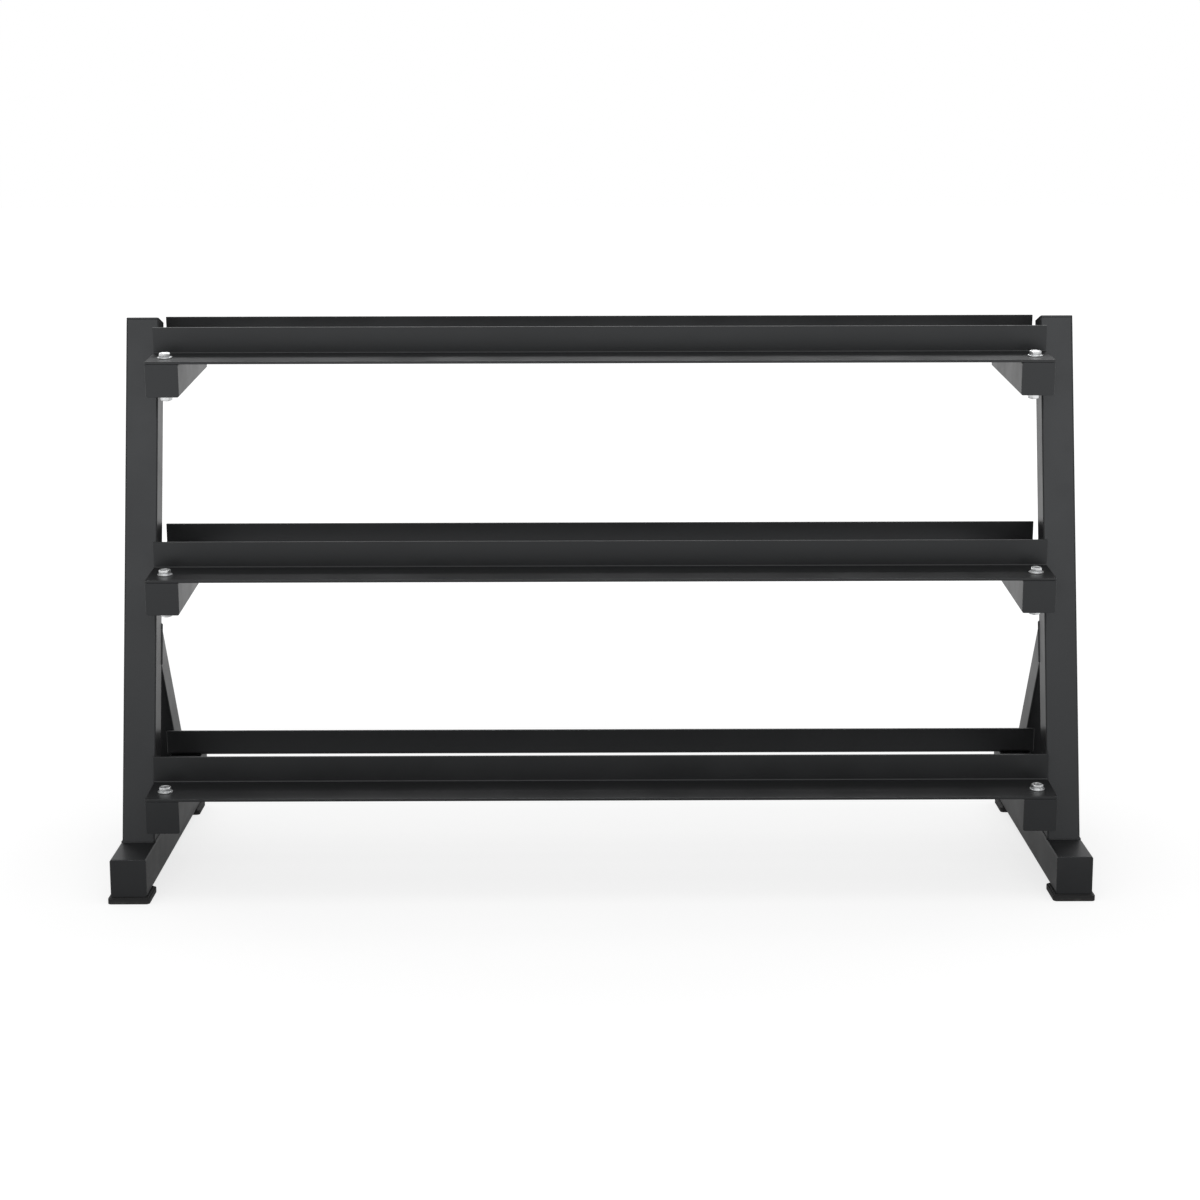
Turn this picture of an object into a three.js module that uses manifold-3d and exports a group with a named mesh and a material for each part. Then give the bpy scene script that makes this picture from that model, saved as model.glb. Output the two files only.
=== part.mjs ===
// Three-tier dumbbell rack: two welded side frames joined by six bolted angle rails.
// Millimetres, +X along the rack, +Y to the rear, +Z up. The origin is on the floor,
// under the middle of the rack.

import * as THREE from "three";
import { mergeVertices } from "three/addons/utils/BufferGeometryUtils.js";
import Module from "manifold-3d";

const wasm = await Module();
wasm.setup();

// ---- Driving dimensions -----------------------------------------------------------

const INNER_SPAN = 1370; // between the inner faces of the two uprights
const GAP = 0.3; // working gap between two pieces that touch

const TUBE = 50; // uprights, arms and braces are 50 mm square tube
const TUBE_WALL = 2.5;
const TUBE_BORE = TUBE - 2 * TUBE_WALL;
const TUBE_CORNER = 3; // outside radius of the tube's corners
const BORE_CORNER = 1; // inside radius of the tube's corners
const BASE_WIDTH = 54; // the base members are a heavier, slightly upright section
const BASE_HEIGHT = 58;
const BASE_LENGTH = 552;

const PAD_WIDTH = 63;
const PAD_LENGTH = 67;
const PAD_HEIGHT = 10;
const PAD_RIM_HEIGHT = 8; // the rim round the seat is a little lower
const PAD_RIM = 3;
const PAD_CORNER = 6;

const UPRIGHT_SETBACK = 94; // base front to the upright's front face, on the base
const UPRIGHT_LEAN = THREE.MathUtils.degToRad(14.1);
const UPRIGHT_TOP = 855; // height of the upright's front top edge

const TIERS = ["bottom", "middle", "top"];
const BOTTOM_TIER_HEIGHT = 151; // front top edge of the lowest arm
const TIER_PITCH = 322;
const BOTTOM_TIER_SETBACK = 22; // base front to the lowest arm's front edge
const TIER_SETBACK_STEP = 64; // each tier stands this much further back
const ARM_LENGTH = 288;
const ARM_SLOPE = THREE.MathUtils.degToRad(3.4); // arms rise to the rear

const FRONT_RAIL_FLANGE = 87; // flange that lies on the arm
const FRONT_RAIL_UPSTAND = 44; // flange that stands up between the dumbbell heads
const REAR_RAIL_FLANGE = 57;
const REAR_RAIL_UPSTAND = 40;
const REAR_RAIL_REACH = 3; // rear rail's end past the inner face of the upright
const RAIL_PLATE = 4;
const RAIL_BEND = 6; // outside radius of the bend

const PLATE = 3; // end plates that close the tubes
const ARC_SEGMENTS = 6; // flats in each rounded corner
const ROUND_SIDES = 16; // flats round each bolt and bolt hole
const BRACE_TOP = 384; // height at which the brace's rear face meets the upright
const BRACE_FOOT = 96; // brace's rear face to the rear end of the base tube

const BOLT_RADIUS = 5; // M10 bolts
const BOLT_HEAD_ACROSS_FLATS = 16;
const BOLT_HEAD_HEIGHT = 6.4;
const BOLT_NUT_HEIGHT = 8;
const BOLT_TAIL = 1.5; // thread showing below the nut
const BOLT_SETBACK = 36; // arm end to bolt centre
const WASHER = 2; // room left for a washer under each head and nut
const BOLT_HOLE_RADIUS = 5.5;

// ---- Materials --------------------------------------------------------------------

const paint = { color: 0x26272a, roughness: 0.5, metalness: 0.1 };
const zinc = { color: 0xc9ccd0, roughness: 0.25, metalness: 1 };
const rubber = { color: 0x1a1a1b, roughness: 0.85, metalness: 0 };

// ---- Helpers ----------------------------------------------------------------------

const rack = new THREE.Group();

/** Put a named mesh of its own material into a group. */
function place(group, name, geometry, finish) {
  const mesh = new THREE.Mesh(geometry, new THREE.MeshStandardMaterial(finish));
  mesh.name = name;
  group.add(mesh);
  return mesh;
}

/** A rectangle with rounded corners, centred on the origin. */
function roundedRectangle(width, height, radius, Kind = THREE.Shape) {
  const outline = new Kind();
  const x = width / 2 - radius;
  const y = height / 2 - radius;
  outline.absarc(x, y, radius, 0, Math.PI / 2);
  outline.absarc(-x, y, radius, Math.PI / 2, Math.PI);
  outline.absarc(-x, -y, radius, Math.PI, 1.5 * Math.PI);
  outline.absarc(x, -y, radius, 1.5 * Math.PI, 2 * Math.PI);
  outline.closePath();
  return outline;
}

/** A shape extruded along +Z from zero. */
function extrude(shape, depth, curveSegments = ARC_SEGMENTS) {
  return new THREE.ExtrudeGeometry(shape, { depth, bevelEnabled: false, curveSegments });
}

/** Rectangular tube along +Z from zero, open at both ends. */
function boxTube(width, height, length) {
  const section = roundedRectangle(width, height, TUBE_CORNER);
  const boreWidth = width - 2 * TUBE_WALL;
  const boreHeight = height - 2 * TUBE_WALL;
  section.holes.push(roundedRectangle(boreWidth, boreHeight, BORE_CORNER, THREE.Path));
  return extrude(section, length);
}

/** The full section of a tube along +Z, as a plate or as a bar. */
function boxBar(width, height, length) {
  return extrude(roundedRectangle(width, height, TUBE_CORNER), length);
}

/** A closed geometry as a manifold solid. */
function solid(geometry) {
  const bare = geometry.clone();
  bare.deleteAttribute("normal");
  bare.deleteAttribute("uv");
  const merged = mergeVertices(bare, 1e-4);
  const vertProperties = new Float32Array(merged.attributes.position.array);
  const triVerts = new Uint32Array(merged.index.array);
  return new wasm.Manifold(new wasm.Mesh({ numProp: 3, vertProperties, triVerts }));
}

/** A manifold solid back as a geometry. */
function geometryOf(manifold) {
  const mesh = manifold.getMesh();
  const geometry = new THREE.BufferGeometry();
  geometry.setAttribute("position", new THREE.BufferAttribute(mesh.vertProperties, 3));
  geometry.setIndex(new THREE.BufferAttribute(mesh.triVerts, 1));
  return geometry;
}

/** A geometry with cutters taken out of it. */
function cut(geometry, ...cutters) {
  let rest = solid(geometry);
  for (const cutter of cutters) {
    rest = rest.subtract(solid(cutter));
  }
  return geometryOf(rest);
}

/** A cylinder along Z, centred on a point: a drill, or a bolt's shank. */
function cylinderAlongZ(x, y, z, length, radius) {
  const cylinder = new THREE.CylinderGeometry(radius, radius, length, ROUND_SIDES);
  return cylinder.rotateX(Math.PI / 2).translate(x, y, z);
}

/** A cutter box that fills everything below a level. */
function below(level) {
  const size = 2000;
  return new THREE.BoxGeometry(size, size, size).translate(0, 0, level - size / 2);
}

// ---- Positions worked out from the driving dimensions ---------------------------------

const FRONT = -BASE_LENGTH / 2; // the base tube's front end
const BASE_BOTTOM = PAD_HEIGHT;
const BASE_TOP = BASE_BOTTOM + BASE_HEIGHT;
const TUBE_CENTRE_X = INNER_SPAN / 2 + TUBE / 2;
const UPRIGHT_FRONT = FRONT + UPRIGHT_SETBACK;

/** Y of the upright's front face at a height. */
function uprightFrontAt(height) {
  return UPRIGHT_FRONT + (height - BASE_TOP) * Math.tan(UPRIGHT_LEAN);
}

// ---- Side frames ------------------------------------------------------------------

/** Base tube with its two end plates and two foot pads. */
function addBase(frame, side) {
  const tubeLength = BASE_LENGTH - 2 * (PLATE + GAP);
  const base = boxTube(BASE_WIDTH, BASE_HEIGHT, tubeLength).rotateX(-Math.PI / 2);
  base.translate(0, -tubeLength / 2, BASE_BOTTOM + BASE_HEIGHT / 2);
  place(frame, `base_tube_${side}`, base, paint);

  for (const [end, sign] of [["front", -1], ["rear", 1]]) {
    const plate = boxBar(BASE_WIDTH, BASE_HEIGHT, PLATE).rotateX(-Math.PI / 2);
    const plateY = sign * (BASE_LENGTH - PLATE) / 2 - PLATE / 2;
    plate.translate(0, plateY, BASE_BOTTOM + BASE_HEIGHT / 2);
    place(frame, `base_end_plate_${end}_${side}`, plate, paint);

    const overhang = (PAD_WIDTH - BASE_WIDTH) / 2;
    const padY = sign * (BASE_LENGTH / 2 + overhang - PAD_LENGTH / 2);
    place(frame, `foot_pad_${end}_${side}`, footPad().translate(0, padY, 0), rubber);
  }
}

/** Foot pad: a rubber plate with a slightly raised seat for the tube. */
function footPad() {
  const rim = extrude(roundedRectangle(PAD_WIDTH, PAD_LENGTH, PAD_CORNER), PAD_RIM_HEIGHT);
  const seatWidth = PAD_WIDTH - 2 * PAD_RIM;
  const seatLength = PAD_LENGTH - 2 * PAD_RIM;
  const seatOutline = roundedRectangle(seatWidth, seatLength, PAD_CORNER - PAD_RIM);
  const seat = extrude(seatOutline, PAD_HEIGHT - GAP);
  return geometryOf(solid(rim).add(solid(seat)));
}

/** Upright tube, leaning back, cut level where it stands on the base, square at its top. */
function addUpright(frame, side) {
  const rise = UPRIGHT_TOP - BASE_TOP;
  const length = rise / Math.cos(UPRIGHT_LEAN);
  const spare = TUBE; // extra length at the foot, taken off by the level cut

  const tube = boxTube(TUBE, TUBE, spare + length - PLATE - GAP).translate(0, TUBE / 2, -spare);
  const cap = boxBar(TUBE, TUBE, PLATE).translate(0, TUBE / 2, length - PLATE);
  for (const piece of [tube, cap]) {
    piece.rotateX(-UPRIGHT_LEAN).translate(0, UPRIGHT_FRONT, BASE_TOP);
  }
  place(frame, `upright_${side}`, cut(tube, below(BASE_TOP + GAP)), paint);
  place(frame, `upright_top_plate_${side}`, cap, paint);
}

/** Rear brace from the back of the upright down to the rear of the base tube. */
function addBrace(frame, side) {
  const rearFaceShift = TUBE / Math.cos(UPRIGHT_LEAN);
  const top = new THREE.Vector2(uprightFrontAt(BRACE_TOP) + rearFaceShift, BRACE_TOP);
  const heel = new THREE.Vector2(FRONT + BASE_LENGTH - BRACE_FOOT, BASE_TOP);
  const run = heel.clone().sub(top);
  const angle = Math.atan2(run.x, -run.y); // from straight down towards the rear
  const spare = 2 * TUBE; // extra length at each end, taken off by the two cuts

  // The tube's rear face runs through the two marks, and its section lies ahead of them.
  const tube = boxTube(TUBE, TUBE, run.length() + 2 * spare).translate(0, -TUBE / 2, -spare);
  tube.rotateX(angle).translate(0, heel.x, heel.y);

  // Everything ahead of the upright's rear face is cut away.
  const reach = 20 * TUBE;
  const uprightSide = new THREE.BoxGeometry(reach, reach, 2 * reach);
  uprightSide.translate(0, TUBE + GAP - reach / 2, 0).rotateX(-UPRIGHT_LEAN);
  uprightSide.translate(0, UPRIGHT_FRONT, BASE_TOP);
  const brace = cut(tube, below(BASE_TOP + GAP), uprightSide);
  place(frame, `rear_brace_${side}`, brace, paint);
}

/** Local frame of one tier: origin at the arm's front top edge, +Y along the arm. */
function tierFrame(tier) {
  const group = new THREE.Group();
  const y = FRONT + BOTTOM_TIER_SETBACK + tier * TIER_SETBACK_STEP;
  group.position.set(0, y, BOTTOM_TIER_HEIGHT + tier * TIER_PITCH);
  group.rotation.x = ARM_SLOPE;
  return group;
}

/** One shelf arm, closed at its rear end, with its separate front plate. */
function addArm(tierGroup, tierName, side, sign) {
  const x = sign * (INNER_SPAN / 2 - TUBE / 2 - GAP);
  const bar = boxBar(TUBE, TUBE, ARM_LENGTH - PLATE - GAP).rotateX(-Math.PI / 2);
  bar.translate(x, PLATE + GAP, -TUBE / 2);
  const boreOutline = roundedRectangle(TUBE_BORE, TUBE_BORE, BORE_CORNER);
  const bore = extrude(boreOutline, ARM_LENGTH - PLATE).rotateX(-Math.PI / 2);
  bore.translate(x, 0, -TUBE / 2);
  const holes = boltPositions().map((y) => {
    return cylinderAlongZ(x, y, -TUBE / 2, 2 * TUBE, BOLT_HOLE_RADIUS);
  });
  place(tierGroup, `arm_${tierName}_${side}`, cut(bar, bore, ...holes), paint);

  const plate = boxBar(TUBE, TUBE, PLATE).rotateX(-Math.PI / 2).translate(x, 0, -TUBE / 2);
  place(tierGroup, `arm_front_plate_${tierName}_${side}`, plate, paint);
}

/** Distances of the two bolts behind the arm's front end. */
function boltPositions() {
  return [BOLT_SETBACK, ARM_LENGTH - BOLT_SETBACK];
}

// ---- Rails ------------------------------------------------------------------------

/** Section of an angle rail: X runs in from the lying flange's edge, Y is height. */
function railSection(flange, upstand) {
  const inside = RAIL_BEND - RAIL_PLATE;
  const section = new THREE.Shape();
  section.moveTo(0, 0);
  section.lineTo(flange - RAIL_BEND, 0);
  section.absarc(flange - RAIL_BEND, RAIL_BEND, RAIL_BEND, -Math.PI / 2, 0);
  section.lineTo(flange, upstand);
  section.lineTo(flange - RAIL_PLATE, upstand);
  section.lineTo(flange - RAIL_PLATE, RAIL_BEND);
  section.absarc(flange - RAIL_BEND, RAIL_BEND, inside, 0, -Math.PI / 2, true);
  section.lineTo(0, RAIL_PLATE);
  section.closePath();
  return section;
}

/** Angle rail across the rack, drilled over each arm. */
function railGeometry(flange, upstand, length) {
  const bar = extrude(railSection(flange, upstand), length);
  // The section's X and Y become the rack's Y and Z.
  bar.rotateX(Math.PI / 2).rotateZ(Math.PI / 2).translate(-length / 2, 0, GAP);
  const holeX = INNER_SPAN / 2 - TUBE / 2 - GAP;
  const holes = [-holeX, holeX].map((x) => {
    return cylinderAlongZ(x, BOLT_SETBACK, 0, 4 * RAIL_PLATE, BOLT_HOLE_RADIUS);
  });
  return cut(bar, ...holes);
}

/** Front rail, and a smaller rear rail turned end for end behind the uprights. */
function addRails(tierGroup, tierName) {
  const frontLength = INNER_SPAN - 2 * GAP;
  const front = railGeometry(FRONT_RAIL_FLANGE, FRONT_RAIL_UPSTAND, frontLength);
  place(tierGroup, `rail_front_${tierName}`, front, paint);
  const rearLength = INNER_SPAN + 2 * REAR_RAIL_REACH;
  const rear = railGeometry(REAR_RAIL_FLANGE, REAR_RAIL_UPSTAND, rearLength);
  rear.rotateZ(Math.PI).translate(0, ARM_LENGTH, 0);
  place(tierGroup, `rail_rear_${tierName}`, rear, paint);
}

// ---- Fasteners --------------------------------------------------------------------

/** Hexagonal prism along +Z from zero. */
function hexPrism(acrossFlats, height) {
  const radius = acrossFlats / Math.sqrt(3);
  const prism = new THREE.CylinderGeometry(radius, radius, height, 6);
  return prism.rotateX(Math.PI / 2).translate(0, 0, height / 2);
}

/** Bolt with its shank hanging down from z = 0 and its head above. */
function boltGeometry() {
  const reach = RAIL_PLATE + TUBE + 2 * WASHER + BOLT_NUT_HEIGHT + BOLT_TAIL;
  const intoHead = BOLT_HEAD_HEIGHT / 2; // the shank is joined well inside the head
  const shankMiddle = (intoHead - reach) / 2;
  const shank = cylinderAlongZ(0, 0, shankMiddle, reach + intoHead, BOLT_RADIUS);
  const head = hexPrism(BOLT_HEAD_ACROSS_FLATS, BOLT_HEAD_HEIGHT);
  return geometryOf(solid(shank).add(solid(head)));
}

/** Nut hanging below z = 0, bored to clear the shank. */
function nutGeometry() {
  const nut = hexPrism(BOLT_HEAD_ACROSS_FLATS, BOLT_NUT_HEIGHT).translate(0, 0, -BOLT_NUT_HEIGHT);
  const middle = -BOLT_NUT_HEIGHT / 2;
  const bore = cylinderAlongZ(0, 0, middle, 2 * BOLT_NUT_HEIGHT, BOLT_RADIUS + GAP);
  return cut(nut, bore);
}

/** Bolts and nuts of one tier, a pair at each end of each rail. */
function addFasteners(tierGroup, tierName) {
  const headSeat = RAIL_PLATE + GAP + WASHER;
  const nutSeat = -TUBE - WASHER;
  for (const [side, sign] of [["left", -1], ["right", 1]]) {
    const x = sign * (INNER_SPAN / 2 - TUBE / 2 - GAP);
    for (const [index, end] of ["front", "rear"].entries()) {
      const y = boltPositions()[index];
      const label = `${tierName}_${end}_${side}`;
      place(tierGroup, `bolt_${label}`, boltGeometry().translate(x, y, headSeat), zinc);
      place(tierGroup, `nut_${label}`, nutGeometry().translate(x, y, nutSeat), zinc);
    }
  }
}

// ---- Assembly ---------------------------------------------------------------------

for (const [side, sign] of [["left", -1], ["right", 1]]) {
  const frame = new THREE.Group();
  frame.position.x = sign * TUBE_CENTRE_X;
  addBase(frame, side);
  addUpright(frame, side);
  addBrace(frame, side);
  rack.add(frame);
}

for (const [tier, tierName] of TIERS.entries()) {
  const tierGroup = tierFrame(tier);
  addArm(tierGroup, tierName, "left", -1);
  addArm(tierGroup, tierName, "right", 1);
  addRails(tierGroup, tierName);
  addFasteners(tierGroup, tierName);
  rack.add(tierGroup);
}

export default rack;
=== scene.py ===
# %% [markdown]
# # A three-tier dumbbell rack
#
# The rack is a welded and bolted steel frame: two side frames in square tube, six angle
# rails, four rubber feet and a handful of bright bolts. The CAD model already holds every
# size and place. This lesson adds what a camera sees: softened edges, weld beads, threads,
# moulded rubber and a satin powder coat.
#
# The first step is to load the frame and put each part's place into its mesh.

# %% Load the frame
import math

import bpy
import numpy as np
from mathutils import Euler, Matrix, Vector


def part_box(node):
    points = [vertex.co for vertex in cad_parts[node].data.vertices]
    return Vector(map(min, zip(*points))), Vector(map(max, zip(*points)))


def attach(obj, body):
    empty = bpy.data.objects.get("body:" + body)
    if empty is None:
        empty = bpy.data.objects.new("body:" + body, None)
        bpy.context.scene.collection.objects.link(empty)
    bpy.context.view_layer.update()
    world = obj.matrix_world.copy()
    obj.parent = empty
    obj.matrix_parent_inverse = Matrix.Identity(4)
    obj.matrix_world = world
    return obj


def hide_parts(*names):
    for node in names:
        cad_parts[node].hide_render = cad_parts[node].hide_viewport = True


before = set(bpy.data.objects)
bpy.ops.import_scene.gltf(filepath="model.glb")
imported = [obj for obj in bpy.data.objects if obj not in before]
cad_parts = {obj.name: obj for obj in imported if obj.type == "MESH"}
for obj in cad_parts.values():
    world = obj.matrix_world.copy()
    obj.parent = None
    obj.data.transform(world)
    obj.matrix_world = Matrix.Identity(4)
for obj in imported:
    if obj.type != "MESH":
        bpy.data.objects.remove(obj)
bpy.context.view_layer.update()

MM = 0.001
SIDES = {"left": -1, "right": 1}
TIERS = ("bottom", "middle", "top")
ENDS = ("front", "rear")

# %% [markdown]
# ## The camera
#
# The rack is seen from straight ahead and a little above, from nearly four metres away
# through a short telephoto lens. A long lens keeps the two side frames almost parallel, and
# the gentle downward tilt shows the lying flanges of the rails as thin strips.

# %% Camera
CAMERA_PLACE = Vector((-0.0168, -3.901, 1.155))
CAMERA_TILT = math.radians(10.82)  # downwards
CAMERA_TURN = math.radians(0.236)  # to the right
CAMERA_ROLL = math.radians(-0.122)
FOCAL_LENGTH = 75.4  # in millimetres
SENSOR_WIDTH = 36.0  # in millimetres

camera_data = bpy.data.cameras.new("camera")
camera_data.lens = FOCAL_LENGTH
camera_data.sensor_width = SENSOR_WIDTH
camera = bpy.data.objects.new("camera", camera_data)
bpy.context.scene.collection.objects.link(camera)
aim = Euler((math.pi / 2 - CAMERA_TILT, 0, -CAMERA_TURN)).to_matrix().to_4x4()
roll = Matrix.Rotation(CAMERA_ROLL, 4, "Z")
camera.matrix_world = Matrix.Translation(CAMERA_PLACE) @ aim @ roll
bpy.context.scene.camera = camera
print("camera", FOCAL_LENGTH, "mm at", tuple(round(v, 2) for v in CAMERA_PLACE))

# %% [markdown]
# ## Wiring nodes
#
# Each finish, the floor's among them, is a small network of shader nodes. The same few moves
# repeat in all of them: add a node with its settings, give an input a number or a link, move
# a value to another range. One helper for each keeps the materials below short.

# %% Node helpers
def add_node(tree, kind, settings=None, **inputs):
    """A node with some of its properties and inputs set."""
    node = tree.nodes.new(kind)
    for key, value in (settings or {}).items():
        setattr(node, key, value)
    for key, value in inputs.items():
        node.inputs[key.replace("_", " ")].default_value = value
    return node


def feed(tree, socket, term):
    """Give an input a number, or link another node's output to it."""
    if isinstance(term, bpy.types.NodeSocket):
        tree.links.new(term, socket)
    else:
        socket.default_value = term


def remap(tree, value, low, high, to_low, to_high):
    """A value moved from one range to another; each end is a number or a socket."""
    node = add_node(tree, "ShaderNodeMapRange")
    ends = {"From Min": low, "From Max": high, "To Min": to_low, "To Max": to_high}
    for key, end in ends.items():
        feed(tree, node.inputs[key], end)
    tree.links.new(value, node.inputs["Value"])
    return node.outputs["Result"]


def math_node(tree, operation, first, second):
    """One arithmetic step between two sockets or numbers."""
    node = add_node(tree, "ShaderNodeMath", {"operation": operation})
    feed(tree, node.inputs[0], first)
    feed(tree, node.inputs[1], second)
    return node.outputs[0]


print("node helpers ready")

# %% [markdown]
# ## Floor and light
#
# The studio is a white sweep, so bright that the floor and the wall behind it look the same.
# Black satin paint shows itself only by what it reflects. A wide softbox behind and above the
# camera gives the leaning uprights their grey. A narrow one, high behind the rack, skims the
# lying flanges: each standing flange shades the metal next to its bend, which draws a dark
# and a light strip along every rail. The floor is bright to look at, but in reflections it
# dims towards the rack, as a floor does under a product that stands away from its lights,
# and so the upright faces of the low tiers fall off towards black.

# %% The floor's glow
NEAR, FAR = 0.6, 3.0  # distances from the middle of the rack, in metres
SEEN_GLOW = (0.745, 0.95)  # the floor's own glow to the camera, near and far
PAINT_GLOW = (0.14, 1.15)  # and in the paint
REAR_GLOW = 0.7  # the most that the paint sees of it far behind the rack
REAR_FADE = 1.5  # how far back that limit is reached, in metres


def camera_only(tree, seen, otherwise):
    """One value, a number or a socket, for the camera and another for other rays."""
    path = add_node(tree, "ShaderNodeLightPath")
    return remap(tree, path.outputs["Is Camera Ray"], 0.0, 1.0, otherwise, seen)


def floor_glow(tree):
    """The floor's own glow, which grows outwards: one for the camera, one for the paint."""
    place = add_node(tree, "ShaderNodeTexCoord").outputs["Object"]
    distance = add_node(tree, "ShaderNodeVectorMath", {"operation": "LENGTH"})
    tree.links.new(place, distance.inputs[0])
    split = add_node(tree, "ShaderNodeSeparateXYZ")
    tree.links.new(place, split.inputs[0])
    seen = remap(tree, distance.outputs["Value"], NEAR, FAR, *SEEN_GLOW)
    all_round = remap(tree, distance.outputs["Value"], NEAR, FAR, *PAINT_GLOW)
    rear_limit = remap(tree, split.outputs["Y"], 0, REAR_FADE, PAINT_GLOW[1], REAR_GLOW)
    return camera_only(tree, seen, math_node(tree, "MINIMUM", all_round, rear_limit))


print("floor glow for the camera", SEEN_GLOW, "and in the paint", PAINT_GLOW)

# %% The floor
FLOOR_SIZE = 60  # in metres, wide enough that no edge of it shows
FLOOR_DROP = 0.2 * MM  # below the feet, so that two surfaces never share one place
FLOOR_ROUGHNESS = 0.8
SEEN_SHARE, PAINT_SHARE = 0.33, 0.28  # how much of its light the floor throws back to each


def add_floor():
    """A wide pale floor, a hair under the feet."""
    bpy.ops.mesh.primitive_plane_add(size=FLOOR_SIZE, location=(0, 0, -FLOOR_DROP))
    floor = bpy.context.object
    floor.name = "studio_floor"
    paint = bpy.data.materials.new("studio_floor")
    paint.use_nodes = True
    tree = paint.node_tree
    shader = tree.nodes["Principled BSDF"]
    shader.inputs["Roughness"].default_value = FLOOR_ROUGHNESS
    shader.inputs["Specular IOR Level"].default_value = 0.0
    shader.inputs["Emission Color"].default_value = (1, 1, 1, 1)
    tree.links.new(floor_glow(tree), shader.inputs["Emission Strength"])
    tree.links.new(camera_only(tree, SEEN_SHARE, PAINT_SHARE), shader.inputs["Base Color"])
    floor.data.materials.append(paint)
    return floor


studio_floor = add_floor()
print("floor", FLOOR_SIZE, "m wide")

# %% [markdown]
# The lights are three area lights and a white room. The rear softbox would throw the rack's
# shadow towards the camera, so it is kept off the floor, as a black flag does in a studio.

# %% Softboxes and the white room
ROOM = 0.52  # what the paint sees all round; the camera sees plain white
SOFTBOXES = {  # place, target, width and height in metres, power in watts
    "overhead_softbox": ((0, 0.3, 3.2), (0, 0.2, 0), (4.0, 3.0), 25),
    "front_softbox": ((0, -5.2, 3.0), (0, 0, 0.6), (7.0, 2.4), 80),
    "rear_softbox": ((0, 3.4, 4.7), (0, 0, 0.6), (5.0, 1.2), 180),
}


def build_surround():
    """A white room round the floor."""
    surround = bpy.data.worlds.new("white_surround")
    bpy.context.scene.world = surround
    surround.use_nodes = True
    tree = surround.node_tree
    background = tree.nodes["Background"]
    background.inputs["Color"].default_value = (1, 1, 1, 1)
    tree.links.new(camera_only(tree, 1.0, ROOM), background.inputs["Strength"])


def add_softbox(name, place, target, size, power):
    """A rectangular area light that looks at a target."""
    lamp = bpy.data.lights.new(name, "AREA")
    lamp.shape = "RECTANGLE"
    lamp.size, lamp.size_y = size
    lamp.energy = power
    holder = bpy.data.objects.new(name, lamp)
    bpy.context.scene.collection.objects.link(holder)
    holder.location = place
    holder.rotation_euler = (Vector(target) - Vector(place)).to_track_quat("-Z", "Y").to_euler()
    holder.visible_camera = False
    return holder


def flag_off(holder, piece):
    """Keep a softbox's light off one piece."""
    shaded = bpy.data.collections.new(holder.name + "_shaded")
    shaded.objects.link(piece)
    shaded.collection_objects[0].light_linking.link_state = "EXCLUDE"
    holder.light_linking.receiver_collection = shaded


build_surround()
softboxes = {name: add_softbox(name, *setup) for name, setup in SOFTBOXES.items()}
flag_off(softboxes["rear_softbox"], studio_floor)
bpy.context.scene.view_settings.view_transform = "Standard"
print("softboxes", list(softboxes))

# %% [markdown]
# ## Shared effects
#
# Powder coat is sprayed as dust and melted in an oven, so it is never quite flat: it has a
# fine orange-peel surface and a faint cloudiness in its gloss. Both effects are made once as
# node groups and used with different amounts on the tubes, the rails and the welds.

# %% A helper to build node groups
def new_group(name, inputs, outputs):
    """A shader node group with named float inputs and named outputs."""
    group = bpy.data.node_groups.new(name, "ShaderNodeTree")
    for socket_name, value in inputs.items():
        socket = group.interface.new_socket(socket_name, in_out="INPUT", socket_type="NodeSocketFloat")
        socket.default_value = value
    for socket_name, kind in outputs.items():
        group.interface.new_socket(socket_name, in_out="OUTPUT", socket_type=kind)
    entry = group.nodes.new("NodeGroupInput")
    leave = group.nodes.new("NodeGroupOutput")
    return group, entry, leave


def noise(tree, scale, detail, roughness=0.5):
    """A noise texture on object coordinates; its scale counts lumps to the metre."""
    coordinates = add_node(tree, "ShaderNodeTexCoord")
    texture = add_node(tree, "ShaderNodeTexNoise", Scale=scale, Detail=detail, Roughness=roughness)
    tree.links.new(coordinates.outputs["Object"], texture.inputs["Vector"])
    return texture.outputs["Fac"]


print("group helper ready")

# %% [markdown]
# The orange peel is two layers of noise added up: soft lumps a millimetre or so wide, and
# much finer grit. The cloud is a slow noise about as wide as a hand, which later shifts the
# colour and the gloss together.

# %% Orange peel and cloudiness
PEEL_SCALE = 700
GRIT_SCALE = 3200
CLOUD_SCALE = 9


def make_peel_group():
    """Height of the orange peel, and a slow cloud from 0 to 1."""
    outputs = {"Height": "NodeSocketFloat", "Cloud": "NodeSocketFloat"}
    group, entry, leave = new_group("coat_surface", {"Peel": 1.0, "Grit": 0.5}, outputs)
    peel = math_node(group, "MULTIPLY", noise(group, PEEL_SCALE, 1.0), entry.outputs["Peel"])
    grit = math_node(group, "MULTIPLY", noise(group, GRIT_SCALE, 2.0), entry.outputs["Grit"])
    group.links.new(math_node(group, "ADD", peel, grit), leave.inputs["Height"])
    cloud = remap(group, noise(group, CLOUD_SCALE, 4.0, 0.6), 0.35, 0.65, 0.0, 1.0)
    group.links.new(cloud, leave.inputs["Cloud"])
    return group


COAT_SURFACE = make_peel_group()
print("group", COAT_SURFACE.name)

# %% [markdown]
# The outer edges get a painted highlight: a lighter colour, with a little less roughness. The
# Bevel node rounds the surface normal near an edge; where that rounded normal leaves the true
# one, there is an edge, so the difference is a mask.

# %% Edge mask
# width and noise scale of the painted highlight on outer edges
HIGHLIGHT_WIDTH = 1.2 * MM
HIGHLIGHT_SCALE = 160


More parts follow.
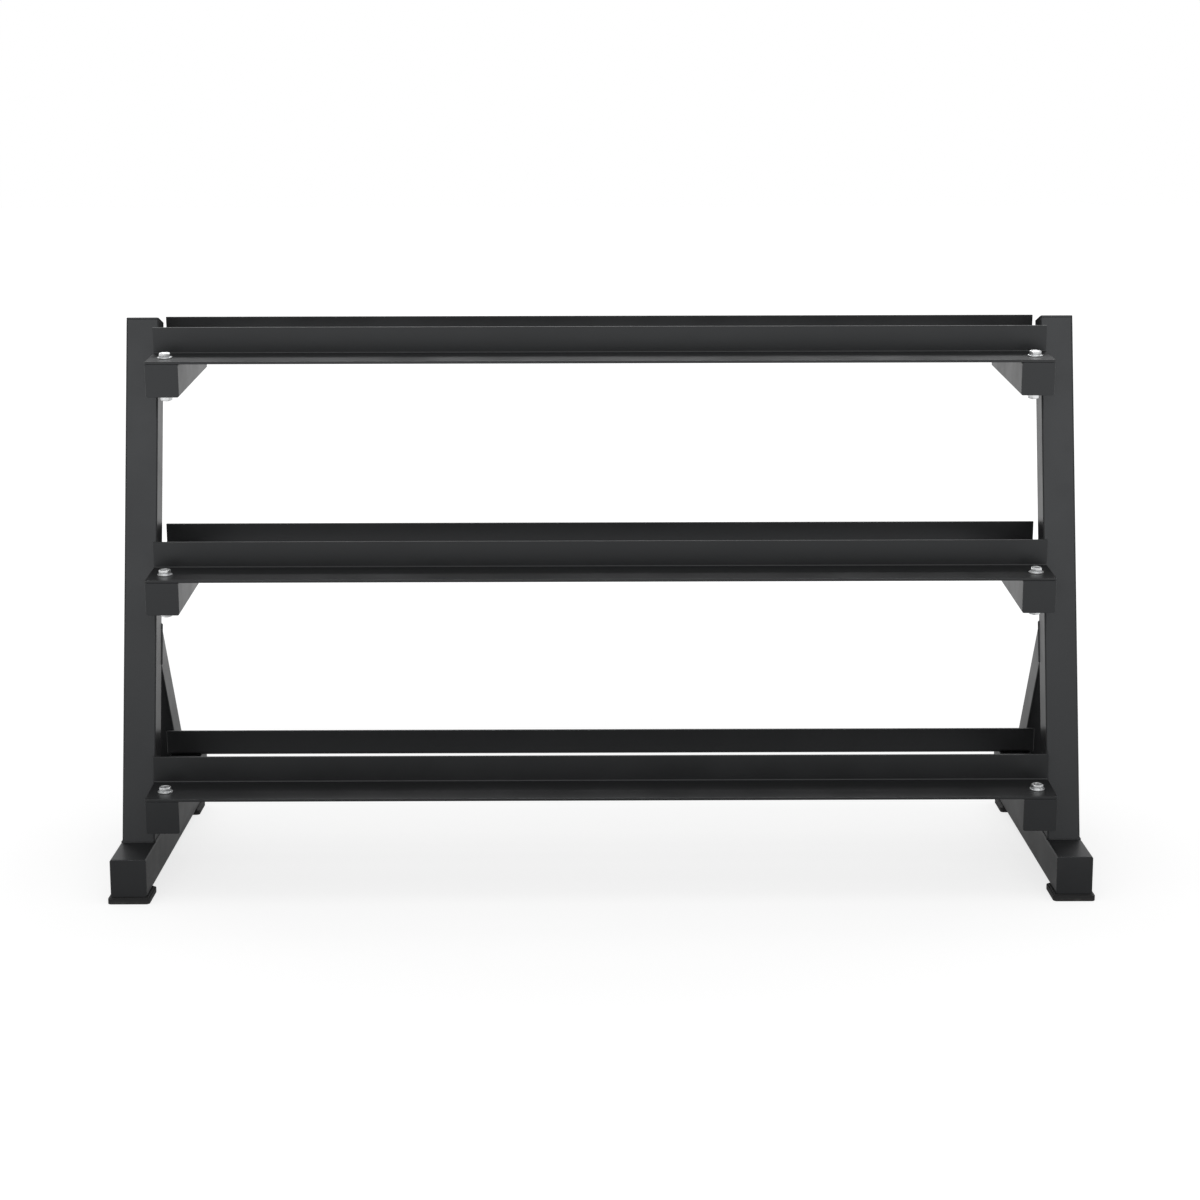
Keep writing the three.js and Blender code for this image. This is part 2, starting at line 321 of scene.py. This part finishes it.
def make_edge_group():
    """A mask that is 1 on outer edges, broken up by noise."""
    group, entry, leave = new_group("painted_edge_highlight", {"Amount": 1.0}, {"Mask": "NodeSocketFloat"})
    rounded = add_node(group, "ShaderNodeBevel", {"samples": 4}, Radius=HIGHLIGHT_WIDTH)
    geometry = add_node(group, "ShaderNodeNewGeometry")
    agreement = add_node(group, "ShaderNodeVectorMath", {"operation": "DOT_PRODUCT"})
    group.links.new(rounded.outputs["Normal"], agreement.inputs[0])
    group.links.new(geometry.outputs["Normal"], agreement.inputs[1])
    edge = remap(group, agreement.outputs["Value"], 0.99, 0.85, 0.0, 1.0)
    broken = remap(group, noise(group, HIGHLIGHT_SCALE, 3.0, 0.7), 0.4, 0.62, 0.15, 1.0)
    highlighted = math_node(group, "MULTIPLY", edge, broken)
    group.links.new(math_node(group, "MULTIPLY", highlighted, entry.outputs["Amount"]), leave.inputs["Mask"])
    return group


EDGE_HIGHLIGHT = make_edge_group()
print("node groups", [group.name for group in bpy.data.node_groups])

# %% [markdown]
# ## The powder coat
#
# One function makes each coat. Its colour is almost black; the cloud shifts it and the gloss
# by a little, and the edge mask paints a lighter highlight on the outermost edges and smooths
# them. The orange peel goes to a Bump node in real height, so it stays the same size on every piece.

# %% Coat material
COLOUR_A, COLOUR_B, COLOUR_RESULT = 6, 7, 2  # the Mix node's colour sockets, by number
COAT_TINT = (0.95, 0.975, 1.0, 1)  # reflections in the coat lean a little to blue
HIGHLIGHT_LIGHTER = 3.0  # how many times lighter the painted edge highlight is
EDGE_SMOOTHER = 0.1  # how much roughness an outer edge loses


def mix_colour(tree, mask, first, second):
    """A colour that goes from first to second with a mask."""
    node = add_node(tree, "ShaderNodeMix", {"data_type": "RGBA"})
    for index, colour in ((COLOUR_A, first), (COLOUR_B, second)):
        is_socket = isinstance(colour, bpy.types.NodeSocket)
        feed(tree, node.inputs[index], colour if is_socket else (*colour, 1))
    tree.links.new(mask, node.inputs[0])
    return node.outputs[COLOUR_RESULT]


def use_group(tree, group, **values):
    """An instance of a shared effect with its own amounts."""
    node = add_node(tree, "ShaderNodeGroup", {"node_tree": group})
    for key, value in values.items():
        node.inputs[key].default_value = value
    return node


def powder_coat(name, dark, light, gloss, peel, highlight_amount):
    """Satin powder coat: gloss is its roughness range, peel its height, and the last argument the
    strength of the painted highlight on its outer edges.
    """
    material = bpy.data.materials.new(name)
    material.use_nodes = True
    tree = material.node_tree
    shader = tree.nodes["Principled BSDF"]
    shader.inputs["Specular Tint"].default_value = COAT_TINT
    surface = use_group(tree, COAT_SURFACE, Peel=1.0, Grit=0.35)
    edges = use_group(tree, EDGE_HIGHLIGHT, Amount=highlight_amount)
    clouded = mix_colour(tree, surface.outputs["Cloud"], dark, light)
    # painted highlight: the outer edges are coloured lighter than the coat
    highlighted = mix_colour(tree, edges.outputs["Mask"], clouded, [HIGHLIGHT_LIGHTER * c for c in light])
    tree.links.new(highlighted, shader.inputs["Base Color"])
    sheen = remap(tree, surface.outputs["Cloud"], 0.0, 1.0, gloss[0], gloss[1])
    polished = math_node(tree, "MULTIPLY", edges.outputs["Mask"], -EDGE_SMOOTHER)
    tree.links.new(math_node(tree, "ADD", sheen, polished), shader.inputs["Roughness"])
    bump = add_node(tree, "ShaderNodeBump", Strength=1.0, Distance=peel)
    tree.links.new(surface.outputs["Height"], bump.inputs["Height"])
    tree.links.new(bump.outputs["Normal"], shader.inputs["Normal"])
    return material


FRAME_COAT = powder_coat(
    "frame_coat",
    dark=(0.0085, 0.0088, 0.0095),
    light=(0.0115, 0.0118, 0.0125),
    gloss=(0.31, 0.39),
    peel=0.03 * MM,
    highlight_amount=0.5,
)
RAIL_COAT = powder_coat(
    "rail_coat",
    dark=(0.008, 0.0082, 0.0086),
    light=(0.0105, 0.0107, 0.0112),
    gloss=(0.33, 0.41),
    peel=0.02 * MM,
    highlight_amount=0.5,
)
WELD_COAT = powder_coat(
    "weld_coat",
    dark=(0.008, 0.0082, 0.0088),
    light=(0.0105, 0.0108, 0.0115),
    gloss=(0.33, 0.40),
    peel=0.02 * MM,
    highlight_amount=0.0,
)
print("coats", FRAME_COAT.name, RAIL_COAT.name, WELD_COAT.name)

# %% [markdown]
# ## Zinc and rubber
#
# The bolts are bright zinc: a metal with fine tooling marks and a slightly cloudy plating.
# The feet are moulded rubber: dull, dark, with a fine grain and a little floor dust low down.

# %% Zinc material
def zinc_plate():
    """Bright zinc plate with fine scratches and a cloudy gloss."""
    material = bpy.data.materials.new("zinc_plate")
    material.use_nodes = True
    tree = material.node_tree
    shader = tree.nodes["Principled BSDF"]
    shader.inputs["Metallic"].default_value = 1.0
    cloud = remap(tree, noise(tree, 260, 3.0), 0.35, 0.65, 0.0, 1.0)
    colour = mix_colour(tree, cloud, (0.74, 0.75, 0.76), (0.84, 0.85, 0.85))
    tree.links.new(colour, shader.inputs["Base Color"])
    tree.links.new(remap(tree, cloud, 0.0, 1.0, 0.34, 0.46), shader.inputs["Roughness"])
    bump = add_node(tree, "ShaderNodeBump", Strength=0.6, Distance=0.00001)
    tree.links.new(noise(tree, 2500, 2.0), bump.inputs["Height"])
    tree.links.new(bump.outputs["Normal"], shader.inputs["Normal"])
    return material


ZINC = zinc_plate()
print("material", ZINC.name)

# %% [markdown]
# Rubber takes the grain of its mould, so one fine noise drives both its roughness and its
# bump. The dust is a mask that fades out upwards, broken up by a coarser noise.

# %% Rubber material
DUST_HEIGHT = 6 * MM


def foot_rubber():
    """Moulded rubber with grain, and dust that thickens towards the floor."""
    material = bpy.data.materials.new("foot_rubber")
    material.use_nodes = True
    tree = material.node_tree
    shader = tree.nodes["Principled BSDF"]
    shader.inputs["Specular IOR Level"].default_value = 0.35
    coordinates = add_node(tree, "ShaderNodeTexCoord")
    split = add_node(tree, "ShaderNodeSeparateXYZ")
    tree.links.new(coordinates.outputs["Object"], split.inputs[0])
    low = remap(tree, split.outputs["Z"], 0.0, DUST_HEIGHT, 1.0, 0.0)
    patch = remap(tree, noise(tree, 120, 4.0, 0.6), 0.4, 0.7, 0.1, 0.7)
    dust = math_node(tree, "MULTIPLY", low, patch)
    colour = mix_colour(tree, dust, (0.017, 0.017, 0.0175), (0.09, 0.088, 0.083))
    tree.links.new(colour, shader.inputs["Base Color"])
    grain = noise(tree, 1500, 3.0)
    tree.links.new(remap(tree, grain, 0.3, 0.7, 0.55, 0.75), shader.inputs["Roughness"])
    bump = add_node(tree, "ShaderNodeBump", Strength=0.8, Distance=0.00006)
    tree.links.new(grain, bump.inputs["Height"])
    tree.links.new(bump.outputs["Normal"], shader.inputs["Normal"])
    return material


RUBBER = foot_rubber()
print("material", RUBBER.name)

# %% [markdown]
# ## Working by hand, in code
#
# Every new piece is made as it would be at the screen: add a primitive, enter edit mode,
# select some faces or edges, use a tool, and apply. These small helpers select by a rule and
# run one tool at a time.

# %% Modelling helpers
SELECT_MODES = {"vertices": "VERT", "edges": "EDGE", "polygons": "FACE"}


def clear_selection():
    """Leave edit mode and deselect everything."""
    if bpy.context.object and bpy.context.object.mode != "OBJECT":
        bpy.ops.object.mode_set(mode="OBJECT")
    bpy.ops.object.select_all(action="DESELECT")


def work_on(piece):
    """Make a piece the only selected and active object."""
    clear_selection()
    piece.select_set(True)
    bpy.context.view_layer.objects.active = piece


def select_where(piece, kind, rule):
    """In edit mode, select what a rule accepts, given each element and its corner points."""
    bpy.ops.object.mode_set(mode="EDIT")
    bpy.ops.mesh.select_mode(type=SELECT_MODES[kind])
    bpy.ops.mesh.select_all(action="DESELECT")
    bpy.ops.object.mode_set(mode="OBJECT")
    mesh = piece.data
    for element in getattr(mesh, kind):
        if kind == "vertices":
            corners = [element.co]
        else:
            corners = [mesh.vertices[index].co for index in element.vertices]
        element.select = bool(rule(element, corners))
    bpy.ops.object.mode_set(mode="EDIT")


def apply_modifier(piece, kind, **settings):
    """Add one modifier and apply it."""
    work_on(piece)
    modifier = piece.modifiers.new(kind.lower(), kind)
    for key, value in settings.items():
        setattr(modifier, key, value)
    bpy.ops.object.modifier_apply(modifier=modifier.name)


def round_edges(piece, width, segments, angle):
    """Bevel every edge that turns by more than an angle in degrees."""
    apply_modifier(
        piece,
        "BEVEL",
        width=width,
        segments=segments,
        limit_method="ANGLE",
        angle_limit=math.radians(angle),
    )


def settle(piece):
    """Put the object's place, turn and scale into its mesh."""
    work_on(piece)
    bpy.ops.object.transform_apply(location=True, rotation=True, scale=True)


def finish_piece(piece, material, angle=35):
    """Smooth the shading up to an angle, give the finish, and ride on the rack."""
    work_on(piece)
    bpy.ops.object.shade_smooth_by_angle(angle=math.radians(angle))
    piece.data.materials.clear()
    piece.data.materials.append(material)
    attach(piece, "root")


def copy_of(master, name):
    """A copy of a piece with its own mesh."""
    twin = master.copy()
    twin.data = master.data.copy()
    twin.name = name
    twin.data.name = name
    bpy.context.scene.collection.objects.link(twin)
    return twin


print("modelling helpers ready")

# %% [markdown]
# ## Reading slopes from the frame
#
# The arms slope, the uprights lean and the braces slant. A square tube is thinnest when it is
# looked at along its own length, so turning its points about X until they are narrowest gives
# its tilt, and the box in that turned view gives its four faces as flat planes.

# %% Measure the tilted tubes
def turned_points(node, angle):
    """A CAD node's points, turned about X by an angle."""
    points = np.array([vertex.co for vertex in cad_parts[node].data.vertices])
    c, s = math.cos(angle), math.sin(angle)
    return points @ np.array([[1, 0, 0], [0, c, s], [0, -s, c]])


def tilt_of(node, axis, low, high):
    """The turn about X, in radians, that makes a node narrowest along Y (1) or Z (2)."""
    for step in (1.0, 0.1, 0.01):
        angles = np.arange(low, high + step / 2, step)
        widths = [np.ptp(turned_points(node, math.radians(a))[:, axis]) for a in angles]
        best = angles[int(np.argmin(widths))]
        low, high = best - step, best + step
    return math.radians(best)


LEAN = tilt_of("upright_left", 1, 0, 40)
SLANT = tilt_of("rear_brace_left", 1, -60, 0)
SLOPE = -tilt_of("arm_top_left", 2, -20, 0)
print("lean", math.degrees(LEAN), "slant", math.degrees(SLANT), "slope", math.degrees(SLOPE))

# %% [markdown]
# ## Softened tubes, plates and rails
#
# The CAD shapes are right but razor sharp. Sawn tube and folded plate have edges rounded by
# deburring and by the thickness of the coat. Each shape is copied, its triangles are merged
# back into whole faces, and a small bevel with weighted normals rounds its edges.

# %% Soften the steel
SAWN_EDGE = 0.5 * MM
FOLDED_EDGE = 0.7 * MM


def soften(node, edge, material):
    """A smooth copy of a CAD node with rounded edges, which stands for that node."""
    clear_selection()
    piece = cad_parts[node].copy()
    piece.data = piece.data.copy()
    for key in list(piece.keys()):  # the copy drops the marks of the node it came from
        del piece[key]
    piece.name = node + "_coated"
    piece.parent = None
    bpy.context.scene.collection.objects.link(piece)
    work_on(piece)
    bpy.ops.object.mode_set(mode="EDIT")
    bpy.ops.mesh.select_all(action="SELECT")
    bpy.ops.mesh.remove_doubles(threshold=0.01 * MM)
    bpy.ops.mesh.dissolve_limited(angle_limit=math.radians(1))
    bpy.ops.object.mode_set(mode="OBJECT")
    round_edges(piece, edge, 2, 30)
    finish_piece(piece, material, 40)
    apply_modifier(piece, "WEIGHTED_NORMAL", keep_sharp=True)
    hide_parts(node)
    return piece


STEEL = [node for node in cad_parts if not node.startswith(("bolt", "nut", "foot_pad"))]
for node in STEEL:
    if node.startswith("rail_"):
        soften(node, FOLDED_EDGE, RAIL_COAT)
    else:
        soften(node, SAWN_EDGE, FRAME_COAT)
print("softened", len(STEEL), "pieces of steel")

# %% [markdown]
# ## Foot pads
#
# Each foot is a moulded rubber pad, a little wider than the tube, with a rounded rim and a
# raised seat. It starts as a box the size of the CAD pad's rim; its corners are rounded, the
# seat is inset and pulled up, and the underside gets a shallow tread.

# %% Model one foot pad
PAD_CORNER = 6 * MM
PAD_EDGE = 1.1 * MM
PAD_SEAT_INSET = 3 * MM
PAD_SEAT_RISE = 1.5 * MM
TREAD_INSET = 5 * MM
TREAD_DEPTH = 1.2 * MM
TREAD_RIBS = 5


def make_foot_pad(node):
    """A rubber pad in the place of a CAD pad."""
    low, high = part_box(node)
    size = high - low
    centre = (low + high) / 2
    rim_height = size.z - PAD_SEAT_RISE
    clear_selection()
    bpy.ops.mesh.primitive_cube_add(size=1, location=(centre.x, centre.y, rim_height / 2))
    pad = bpy.context.object
    pad.scale = (size.x, size.y, rim_height)
    settle(pad)

    select_where(pad, "edges", lambda e, c: abs(c[0].z - c[1].z) > rim_height / 2)
    bpy.ops.mesh.bevel(offset=PAD_CORNER, segments=6, affect="EDGES")
    select_where(pad, "polygons", lambda f, c: f.normal.z > 0.9)
    bpy.ops.mesh.inset(thickness=PAD_SEAT_INSET)
    bpy.ops.mesh.extrude_region_move(TRANSFORM_OT_translate={"value": (0, 0, PAD_SEAT_RISE)})

    tread_start = low.y + TREAD_INSET
    strip_width = (size.y - 2 * TREAD_INSET) / (2 * TREAD_RIBS)
    reach = size.x / 2 - TREAD_INSET + MM / 10

    def on_tread(face, corners):
        """Faces of the underside between the tread's two sides."""
        return face.normal.z < -0.9 and all(abs(p.x - centre.x) < reach for p in corners)

    def in_groove(face, corners):
        """Faces of the tread in every second strip."""
        strip = int((face.center.y - tread_start) / strip_width)
        return on_tread(face, corners) and strip % 2 == 1

    select_where(pad, "polygons", lambda f, c: f.normal.z < -0.9)
    bpy.ops.mesh.inset(thickness=TREAD_INSET)
    for strip in range(1, 2 * TREAD_RIBS):
        select_where(pad, "polygons", on_tread)
        level = tread_start + strip * strip_width
        bpy.ops.mesh.bisect(plane_co=(centre.x, level, 0), plane_no=(0, 1, 0))
    select_where(pad, "polygons", in_groove)
    bpy.ops.mesh.extrude_region_move(TRANSFORM_OT_translate={"value": (0, 0, TREAD_DEPTH)})
    bpy.ops.object.mode_set(mode="OBJECT")
    round_edges(pad, PAD_EDGE, 3, 40)
    pad.name = node + "_moulded"
    finish_piece(pad, RUBBER)
    apply_modifier(pad, "WEIGHTED_NORMAL", keep_sharp=True)
    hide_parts(node)
    return pad


pads = [make_foot_pad(f"foot_pad_{end}_{side}") for side in SIDES for end in ENDS]
print("foot pads", len(pads), "faces each", len(pads[0].data.polygons))

# %% [markdown]
# ## Bolts, nuts and washers
#
# A hexagon head is turned from round bar and then pressed to six flats, which leaves curved
# chamfer lines on its corners. The same is done here: a round blank with a conical rim is cut
# by a six-sided prism. One bolt, one nut and one washer are made, and then copied.

# %% Fastener sizes
ACROSS_FLATS = 16 * MM
CORNER_RADIUS = ACROSS_FLATS / math.sqrt(3)  # from the axis to a corner of the hexagon
HEAD_HEIGHT = 6.4 * MM
NUT_HEIGHT = 8 * MM
THREAD_RADIUS = 5 * MM
THREAD_PITCH = 1.5 * MM
THREAD_DEPTH = 0.61 * THREAD_PITCH  # the usual share on a metric thread
WASHER_RADIUS = 11.3 * MM
WASHER_THICKNESS = 1.8 * MM
CHAMFER_IN = 1.6 * MM
CHAMFER_DOWN = 0.9 * MM
THREADED_LENGTH = 18 * MM
BLANK_SIDES = 64  # of heads, nuts and washers before they are shaped
SHANK_SIDES = 32  # of shanks and drilled holes


def level_box(node):
    """A sloped node's lowest and highest corner in the view where its arm is level."""
    points = turned_points(node, -SLOPE)
    return Vector(points.min(0)), Vector(points.max(0))


low, high = level_box("bolt_top_front_left")
BOLT_LENGTH = high.z - low.z - HEAD_HEIGHT
print("bolt length under the head", round(BOLT_LENGTH / MM, 1), "mm")


def add_cylinder(radius, low, high, sides):
    """An upright cylinder on the Z axis between two heights."""
    clear_selection()
    bpy.ops.mesh.primitive_cylinder_add(
        vertices=sides, radius=radius, depth=high - low, location=(0, 0, (low + high) / 2)
    )
    piece = bpy.context.object
    settle(piece)
    return piece


def press_hexagon(blank, low, high):
    """Cut six flats on a round blank."""
    prism = add_cylinder(CORNER_RADIUS, low - MM, high + MM, 6)
    apply_modifier(blank, "BOOLEAN", operation="INTERSECT", solver="EXACT", object=prism)
    bpy.data.objects.remove(prism)


def chamfer_rim(blank, level, outward):
    """Turn a cone on the rim of a blank's flat end."""
    select_where(blank, "polygons", lambda f, c: f.normal.z * outward > 0.9)
    bpy.ops.mesh.inset(thickness=CHAMFER_IN)
    rim = CORNER_RADIUS - CHAMFER_IN / 2
    select_where(
        blank,
        "vertices",
        lambda v, c: abs(v.co.z - level) < MM / 100 and math.hypot(v.co.x, v.co.y) > rim,
    )
    bpy.ops.transform.translate(value=(0, 0, -outward * CHAMFER_DOWN))
    bpy.ops.object.mode_set(mode="OBJECT")


# %% [markdown]
# The thread is drawn as fine rings: the shank is divided into half-pitch steps and every
# second ring is drawn in, which reads as a thread on the few millimetres that show.

# %% Model the bolt
DISH_INSET = 1.2 * MM  # a shallow dish is pressed into the head
DISH_DEPTH = 0.25 * MM
SHANK_TIP = 0.82  # the width of the shank's end, as a share of the shank
PRESSED_EDGE = 0.25 * MM


def ring_thread(shank, low, high):
    """Draw every second ring of a divided shank in to the thread's root."""

    def on_root(vertex, corners):
        step = (vertex.co.z - low) / (THREAD_PITCH / 2)
        return low + MM / 10 < vertex.co.z < high and round(step) % 2 == 1

    select_where(shank, "vertices", on_root)
    root = 1 - THREAD_DEPTH / THREAD_RADIUS
    bpy.ops.transform.resize(value=(root, root, 1), center_override=(0, 0, 0))
    bpy.ops.object.mode_set(mode="OBJECT")


def make_bolt():
    """A bolt whose head sits on z = 0 and whose threaded shank hangs below."""
    head = add_cylinder(CORNER_RADIUS, 0, HEAD_HEIGHT, BLANK_SIDES)
    chamfer_rim(head, HEAD_HEIGHT, 1)
    press_hexagon(head, 0, HEAD_HEIGHT)
    select_where(head, "polygons", lambda f, c: f.normal.z > 0.99)
    bpy.ops.mesh.inset(thickness=DISH_INSET)
    bpy.ops.mesh.extrude_region_move(TRANSFORM_OT_translate={"value": (0, 0, -DISH_DEPTH)})
    bpy.ops.object.mode_set(mode="OBJECT")

    shank = add_cylinder(THREAD_RADIUS, -BOLT_LENGTH, MM, SHANK_SIDES)
    start = -BOLT_LENGTH
    rings = int(THREADED_LENGTH / (THREAD_PITCH / 2))
    for ring in range(1, rings + 1):
        bpy.ops.object.mode_set(mode="EDIT")
        bpy.ops.mesh.select_all(action="SELECT")
        level = start + ring * THREAD_PITCH / 2
        bpy.ops.mesh.bisect(plane_co=(0, 0, level), plane_no=(0, 0, 1))
        bpy.ops.object.mode_set(mode="OBJECT")
    ring_thread(shank, start, start + THREADED_LENGTH)
    select_where(shank, "vertices", lambda v, c: abs(v.co.z - start) < MM / 100)
    bpy.ops.transform.resize(value=(SHANK_TIP, SHANK_TIP, 1), center_override=(0, 0, start))
    bpy.ops.object.mode_set(mode="OBJECT")

    apply_modifier(head, "BOOLEAN", operation="UNION", solver="EXACT", object=shank)
    bpy.data.objects.remove(shank)
    round_edges(head, PRESSED_EDGE, 2, 50)
    return head


bolt_master = make_bolt()
print("bolt faces", len(bolt_master.data.polygons))

# %% [markdown]
# The nut is cut like the bolt's head, but it is chamfered on both faces and drilled. The
# washer is a drilled disc with rounded edges, as a stamped one has.

# %% Model the nut and the washer
NUT_PLAY = 0.2 * MM  # room round the thread
WASHER_PLAY = 0.4 * MM
STAMPED_EDGE = 0.3 * MM


def bore(piece, radius, low, high):
    """Drill a hole down the Z axis."""
    drill = add_cylinder(radius, low - MM, high + MM, SHANK_SIDES)
    apply_modifier(piece, "BOOLEAN", operation="DIFFERENCE", solver="EXACT", object=drill)
    bpy.data.objects.remove(drill)


def make_nut():
    """A nut that hangs below z = 0, chamfered on both faces."""
    nut = add_cylinder(CORNER_RADIUS, -NUT_HEIGHT, 0, BLANK_SIDES)
    chamfer_rim(nut, 0, 1)
    chamfer_rim(nut, -NUT_HEIGHT, -1)
    press_hexagon(nut, -NUT_HEIGHT, 0)
    bore(nut, THREAD_RADIUS + NUT_PLAY, -NUT_HEIGHT, 0)
    round_edges(nut, PRESSED_EDGE, 2, 50)
    return nut


def make_washer():
    """A plain washer that lies on z = 0."""
    washer = add_cylinder(WASHER_RADIUS, 0, WASHER_THICKNESS, BLANK_SIDES)
    bore(washer, THREAD_RADIUS + WASHER_PLAY, 0, WASHER_THICKNESS)
    round_edges(washer, STAMPED_EDGE, 2, 50)
    return washer


nut_master = make_nut()
washer_master = make_washer()
print("nut faces", len(nut_master.data.polygons), "washer faces", len(washer_master.data.polygons))

# %% [markdown]
# A fastener's place is read from its CAD node: the node's points are turned level, the box
# round them gives its axis and its two ends, and the copy is set there and turned back to
# the arm's slope. Real bolts are never all tightened to the same angle, so each copy is
# turned about its own axis by a step of its own.

# %% Place the fasteners
TURN_STEP = math.radians(23)  # from one fastener to the next
NUT_CLEARANCE = 0.05 * MM  # between the nut and its washer


def set_on_arm(piece, level_place, turn):
    """Set a copy at a place given in the level view, turned about its own axis."""
    piece.matrix_world = (
        Matrix.Rotation(SLOPE, 4, "X")
        @ Matrix.Translation(level_place)
        @ Matrix.Rotation(turn, 4, "Z")
    )
    settle(piece)
    finish_piece(piece, ZINC)


def add_fastener(label, count):
    """Bolt, nut and both washers of one joint."""
    low, high = level_box("bolt_" + label)
    x, y = (low.x + high.x) / 2, (low.y + high.y) / 2
    seat = high.z - HEAD_HEIGHT
    bolt = copy_of(bolt_master, f"bolt_{label}_turned")
    set_on_arm(bolt, Vector((x, y, seat)), count * TURN_STEP)
    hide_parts("bolt_" + label)

    nut_top = level_box("nut_" + label)[1].z
    nut = copy_of(nut_master, f"nut_{label}_turned")
    set_on_arm(nut, Vector((x, y, nut_top)), count * TURN_STEP / 2)
    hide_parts("nut_" + label)

    upper = copy_of(washer_master, f"washer_upper_{label}")
    set_on_arm(upper, Vector((x, y, seat - WASHER_THICKNESS)), count * TURN_STEP)
    lower = copy_of(washer_master, f"washer_lower_{label}")
    set_on_arm(lower, Vector((x, y, nut_top + NUT_CLEARANCE)), count * TURN_STEP)


labels = [f"{tier}_{end}_{side}" for tier in TIERS for end in ENDS for side in SIDES]
for count, label in enumerate(labels):
    add_fastener(label, count)
for master in (bolt_master, nut_master, washer_master):
    bpy.data.objects.remove(master)
print("fasteners", len(labels))

# %% [markdown]
# ## Weld beads
#
# The tubes are joined by fillet welds. A bead is a row of small overlapping ripples where
# the molten pool paused, buried under the coat. It is made as a thin bar cut into rings,
# every second ring drawn in, tapered at its ends and smoothed by one level of subdivision.

# %% Model one bead
BEAD_RADIUS = 2.0 * MM
BEAD_LENGTH = 50 * MM
BEAD_RIPPLE = 2.0 * MM  # from one ripple to the next
BEAD_SIDES = 10
RIPPLE_WAIST = 0.86  # the width between two ripples, as a share of the bead
BEAD_TIP = 0.55  # the width of a bead's ends, as a share of the bead


def make_bead():
    """A rippled bead along X, centred on the origin."""
    clear_selection()
    bpy.ops.mesh.primitive_cylinder_add(
        vertices=BEAD_SIDES,
        radius=BEAD_RADIUS,
        depth=BEAD_LENGTH,
        rotation=(0, math.pi / 2, 0),
    )
    bead = bpy.context.object
    settle(bead)
    select_where(bead, "edges", lambda e, c: abs(c[0].x - c[1].x) > BEAD_LENGTH / 2)
    rings = 2 * int(BEAD_LENGTH / BEAD_RIPPLE)
    bpy.ops.mesh.subdivide(number_cuts=rings - 1)
    step = BEAD_LENGTH / rings
    select_where(
        bead, "vertices", lambda v, c: round((v.co.x + BEAD_LENGTH / 2) / step) % 2 == 1
    )
    bpy.ops.transform.resize(value=(1, RIPPLE_WAIST, RIPPLE_WAIST), center_override=(0, 0, 0))
    select_where(bead, "vertices", lambda v, c: abs(v.co.x) > BEAD_LENGTH / 2 - MM / 10)
    bpy.ops.transform.resize(value=(1, BEAD_TIP, BEAD_TIP), center_override=(0, 0, 0))
    bpy.ops.object.mode_set(mode="OBJECT")
    apply_modifier(bead, "SUBSURF", levels=1, render_levels=1)
    return bead


bead_master = make_bead()
print("bead faces", len(bead_master.data.polygons))

# %% [markdown]
# Each seam is where two tube faces meet. Seen from the side, a face is a straight line, and
# two lines meet in one point, so a seam along X needs one crossing and a seam down a tube's
# side needs two.

# %% Find the seams
def face_line(node, angle, axis, top):
    """A tube face seen from the side, as (ny, nz, offset) with ny*y + nz*z = offset."""
    values = turned_points(node, angle)[:, axis]
    offset = values.max() if top else values.min()
    c, s = math.cos(angle), math.sin(angle)
    return (c, -s, offset) if axis == 1 else (s, c, offset)


def crossing(first, second):
    """The point (y, z) where two side-on lines meet."""
    normals = np.array([first[:2], second[:2]])
    y, z = np.linalg.solve(normals, [first[2], second[2]])
    return Vector((0, y, z))


def lay_bead(start, finish):
    """A bead from one point to another."""
    bead = copy_of(bead_master, "bead")
    along = finish - start
    bead.matrix_world = (
        Matrix.Translation((start + finish) / 2)
        @ along.to_track_quat("X", "Z").to_matrix().to_4x4()
        @ Matrix.Diagonal((along.length / BEAD_LENGTH, 1, 1, 1))
    )
    settle(bead)
    return bead


def weld_round(name, corners):
    """Beads round a closed run of corners, joined into one piece."""
    beads = [lay_bead(corners[i], corners[(i + 1) % len(corners)]) for i in range(len(corners))]
    clear_selection()
    for bead in beads:
        bead.select_set(True)
    bpy.context.view_layer.objects.active = beads[0]
    bpy.ops.object.join()
    weld = bpy.context.object
    weld.name = name
    finish_piece(weld, WELD_COAT, 80)
    return weld


def across(point, x):
    """A side-on point moved to a place along X."""
    return Vector((x, point.y, point.z))


print("seam helpers ready")

# %% [markdown]
# Each side frame has six welds: round the foot of the upright and of the brace, round the top
# of the brace, and round each of the three arms where it sits on the upright's inner face.

# %% Weld the side frames
def weld_side(side):
    """All the welds of one side frame."""
    upright, brace = f"upright_{side}", f"rear_brace_{side}"
    low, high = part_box(upright)
    base_line = (0, 1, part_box(f"base_tube_{side}")[1].z)
    front = face_line(upright, LEAN, 1, False)
    rear = face_line(upright, LEAN, 1, True)
    brace_front = face_line(brace, SLANT, 1, False)
    brace_rear = face_line(brace, SLANT, 1, True)

    pairs = {
        f"weld_upright_foot_{side}": (crossing(front, base_line), crossing(rear, base_line)),
        f"weld_brace_foot_{side}": (
            crossing(brace_front, base_line),
            crossing(brace_rear, base_line),
        ),
        f"weld_brace_top_{side}": (crossing(rear, brace_front), crossing(rear, brace_rear)),
    }
    for name, (first, second) in pairs.items():
        run = [
            across(first, low.x),
            across(first, high.x),
            across(second, high.x),
            across(second, low.x),
        ]
        weld_round(name, run)

    inner_x = high.x if SIDES[side] < 0 else low.x
    for tier in TIERS:
        arm = f"arm_{tier}_{side}"
        top = face_line(arm, -SLOPE, 2, True)
        bottom = face_line(arm, -SLOPE, 2, False)
        faces = ((front, top), (rear, top), (rear, bottom), (front, bottom))
        run = [across(crossing(*pair), inner_x) for pair in faces]
        weld_round(f"weld_arm_{tier}_{side}", run)


for side in SIDES:
    weld_side(side)
bpy.data.objects.remove(bead_master)
print("welds laid on both side frames")
